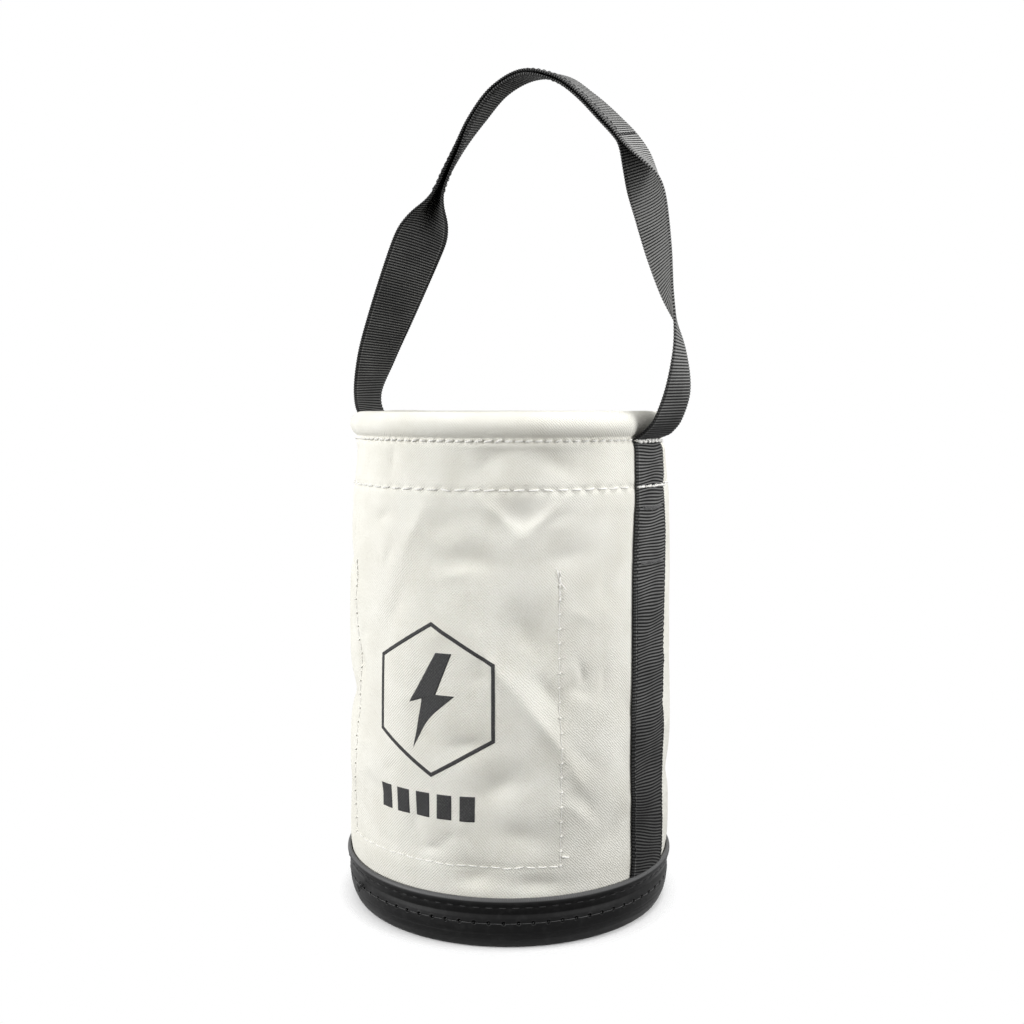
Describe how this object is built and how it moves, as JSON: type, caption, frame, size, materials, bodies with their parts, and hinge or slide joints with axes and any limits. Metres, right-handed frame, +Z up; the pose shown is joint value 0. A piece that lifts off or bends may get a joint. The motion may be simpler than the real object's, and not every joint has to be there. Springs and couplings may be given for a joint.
{
  "type": "tool bucket organizer",
  "caption": "Round canvas tool bucket with a rolled rim, a moulded base, an inner pocket and a swinging folded-web handle.",
  "frame": {"origin": "centre of the moulded base's flat underside", "axes": "+Z up along the bucket's axis; +X towards the strap on the right-hand side; the pocket is on the -Y side"},
  "size_m": [0.2507, 0.2072, 0.5234],
  "materials": {
    "canvas": "plain-woven cotton duck, matt",
    "webbing": "ribbed flat webbing, slight sheen",
    "base_plastic": "moulded, satin with a fine grain",
    "white_thread": "thick twisted thread",
    "black_thread": "thin twisted thread",
    "grey_thread": "thin twisted thread",
    "core": "braided cotton cord",
    "ink": "thin matt print on the canvas"
  },
  "bodies": {
    "bucket": {"canvas_wall": "canvas", "rim_core": "core", "base_cup": "base_plastic", "inner_pocket": "canvas", "right_strap": "webbing", "left_strap": "webbing", "rim_stitches": "white_thread", "hem_stitches": "white_thread", "pocket_stitches": "white_thread", "pocket_hem_stitches": "white_thread", "seam_stitches": "white_thread", "base_upper_stitches": "black_thread", "base_lower_stitches": "grey_thread", "thread_knot": "black_thread", "right_strap_stitches": "black_thread", "left_strap_stitches": "black_thread", "right_strap_tacks": "grey_thread", "left_strap_tacks": "grey_thread"},
    "handle": {"right_leg": "webbing", "grip": "webbing", "left_leg": "webbing", "grip_stitches": "black_thread", "right_grip_tack": "black_thread", "left_grip_tack": "black_thread"}
  },
  "joints": [
    {"name": "handle_swing", "type": "hinge", "parent": "bucket", "child": "handle", "pos_m": [0, 0, 0.29], "axis": [1, 0, 0], "range_deg": [-130, 130]}
  ]
}
